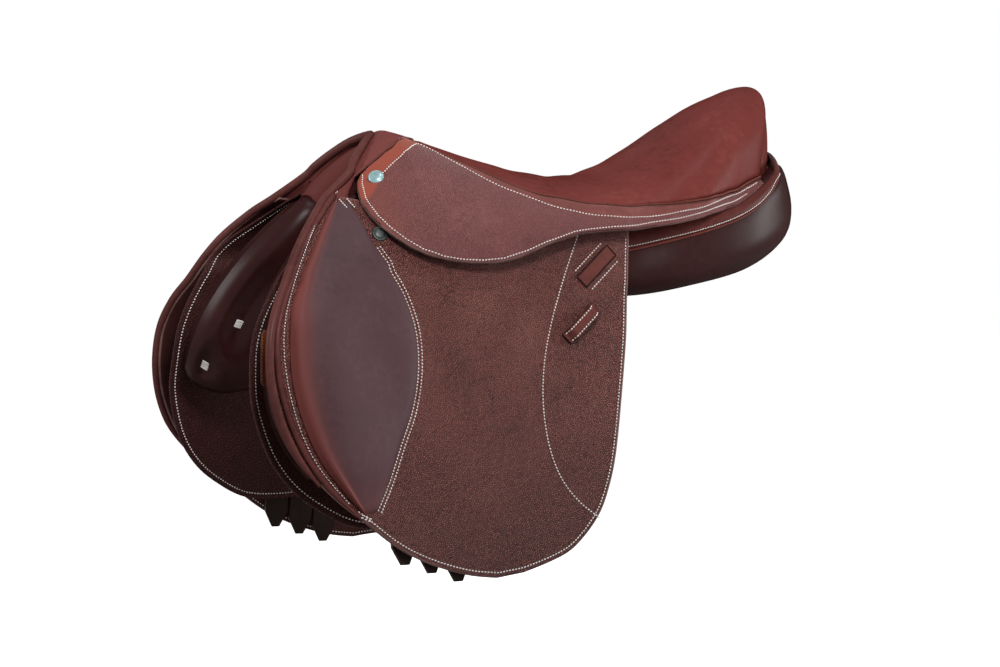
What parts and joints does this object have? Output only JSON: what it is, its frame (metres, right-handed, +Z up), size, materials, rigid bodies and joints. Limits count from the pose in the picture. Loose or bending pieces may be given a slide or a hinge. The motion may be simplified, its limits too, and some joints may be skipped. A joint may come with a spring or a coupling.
{
  "type": "jumping saddle",
  "caption": "English jumping saddle with a deep seat on a sprung tree, lifting flaps and skirts, knee pads, flocked panels, stirrup bars and girth billets.",
  "frame": {"origin": "in the gullet, on the saddle's middle plane, under the deepest part of the seat and at the level of the horse's back", "axes": "+X from the pommel back to the cantle, +Y from the near (left) side to the off (right) side, +Z up"},
  "size_m": [0.5878, 0.4146, 0.461],
  "materials": {
    "tree": "matte",
    "steel": "satin",
    "webbing": "matte",
    "foam": "matte",
    "seat_leather": "satin",
    "cap_leather": "satin",
    "lining_leather": "matte",
    "skirt_leather": "satin",
    "stud": "gloss",
    "flap_leather": "satin",
    "pad_leather": "satin",
    "sweat_leather": "satin",
    "block_leather": "satin",
    "panel_leather": "satin",
    "billet_leather": "matte"
  },
  "bodies": {
    "saddle": {"tree": "tree", "head_plate": "steel", "seat_webs": "webbing", "seat_foam": "foam", "seat": "seat_leather", "pommel_cap": "cap_leather", "pommel_binding": "cap_leather", "cantle_back": "seat_leather", "gullet_lining": "lining_leather", "near_skirt_band": "skirt_leather", "off_skirt_band": "skirt_leather", "near_skirt_stud": "stud", "off_skirt_stud": "stud", "near_flap_stud": "stud", "off_flap_stud": "stud", "near_flap_top": "flap_leather", "off_flap_top": "flap_leather", "near_knee_pad_top": "pad_leather", "off_knee_pad_top": "pad_leather", "near_front_roll_top": "flap_leather", "off_front_roll_top": "flap_leather", "near_sweat_flap": "sweat_leather", "off_sweat_flap": "sweat_leather", "near_knee_block": "block_leather", "off_knee_block": "block_leather", "near_thigh_block": "block_leather", "off_thigh_block": "block_leather", "near_panel": "panel_leather", "off_panel": "panel_leather", "near_panel_facing": "panel_leather", "off_panel_facing": "panel_leather", "near_girth_web": "webbing", "off_girth_web": "webbing", "near_stirrup_bar": "steel", "off_stirrup_bar": "steel"},
    "near_flap_body": {"near_flap": "flap_leather", "near_knee_pad": "pad_leather", "near_front_roll": "flap_leather", "near_keeper_strip": "flap_leather", "near_keeper_loop": "flap_leather"},
    "near_skirt": {"near_skirt_lobe": "skirt_leather"},
    "near_strap_1": {"near_billet_1": "billet_leather"},
    "near_strap_2": {"near_billet_2": "billet_leather"},
    "near_strap_3": {"near_billet_3": "billet_leather"},
    "near_catch": {"near_bar_catch": "steel"},
    "off_flap_body": {"off_flap": "flap_leather", "off_knee_pad": "pad_leather", "off_front_roll": "flap_leather", "off_keeper_strip": "flap_leather", "off_keeper_loop": "flap_leather"},
    "off_skirt": {"off_skirt_lobe": "skirt_leather"},
    "off_strap_1": {"off_billet_1": "billet_leather"},
    "off_strap_2": {"off_billet_2": "billet_leather"},
    "off_strap_3": {"off_billet_3": "billet_leather"},
    "off_catch": {"off_bar_catch": "steel"}
  },
  "joints": [
    {"name": "near_flap_lift", "type": "hinge", "parent": "saddle", "child": "near_flap_body", "pos_m": [-0.11968, -0.13783, 0.0314], "axis": [-0.9906, -0.0814, -0.1097], "range_deg": [0, 55]},
    {"name": "near_skirt_lift", "type": "hinge", "parent": "saddle", "child": "near_skirt", "pos_m": [-0.0714, -0.12945, 0.0675], "axis": [-0.9834, 0.0951, 0.1545], "range_deg": [0, 60]},
    {"name": "near_billet_1_swing", "type": "hinge", "parent": "saddle", "child": "near_strap_1", "pos_m": [-0.21598, -0.1296, 0.01076], "axis": [0.0539, -0.9708, 0.2337], "range_deg": [-6, 6]},
    {"name": "near_billet_2_swing", "type": "hinge", "parent": "saddle", "child": "near_strap_2", "pos_m": [-0.19072, -0.12753, 0.01355], "axis": [0.0539, -0.9708, 0.2337], "range_deg": [-6, 6]},
    {"name": "near_billet_3_swing", "type": "hinge", "parent": "saddle", "child": "near_strap_3", "pos_m": [-0.16546, -0.12545, 0.01635], "axis": [0.0539, -0.9708, 0.2337], "range_deg": [-6, 6]},
    {"name": "near_catch_flip", "type": "hinge", "parent": "saddle", "child": "near_catch", "pos_m": [-0.086, -0.1099, 0.065], "axis": [0, -1, 0], "range_deg": [0, 80]},
    {"name": "off_flap_lift", "type": "hinge", "parent": "saddle", "child": "off_flap_body", "pos_m": [-0.11968, 0.13783, 0.0314], "axis": [0.9906, -0.0814, 0.1097], "range_deg": [0, 55]},
    {"name": "off_skirt_lift", "type": "hinge", "parent": "saddle", "child": "off_skirt", "pos_m": [-0.0714, 0.12945, 0.0675], "axis": [0.9834, 0.0951, -0.1545], "range_deg": [0, 60]},
    {"name": "off_billet_1_swing", "type": "hinge", "parent": "saddle", "child": "off_strap_1", "pos_m": [-0.21598, 0.1296, 0.01076], "axis": [-0.0539, -0.9708, -0.2337], "range_deg": [-6, 6]},
    {"name": "off_billet_2_swing", "type": "hinge", "parent": "saddle", "child": "off_strap_2", "pos_m": [-0.19072, 0.12753, 0.01355], "axis": [-0.0539, -0.9708, -0.2337], "range_deg": [-6, 6]},
    {"name": "off_billet_3_swing", "type": "hinge", "parent": "saddle", "child": "off_strap_3", "pos_m": [-0.16546, 0.12545, 0.01635], "axis": [-0.0539, -0.9708, -0.2337], "range_deg": [-6, 6]},
    {"name": "off_catch_flip", "type": "hinge", "parent": "saddle", "child": "off_catch", "pos_m": [-0.086, 0.1099, 0.065], "axis": [0, -1, 0], "range_deg": [0, 80]}
  ],
  "couplings": [
    {"joint": "near_billet_2_swing", "follows": "near_billet_1_swing", "ratio": 1},
    {"joint": "near_billet_3_swing", "follows": "near_billet_1_swing", "ratio": 1},
    {"joint": "off_billet_2_swing", "follows": "off_billet_1_swing", "ratio": 1},
    {"joint": "off_billet_3_swing", "follows": "off_billet_1_swing", "ratio": 1}
  ]
}
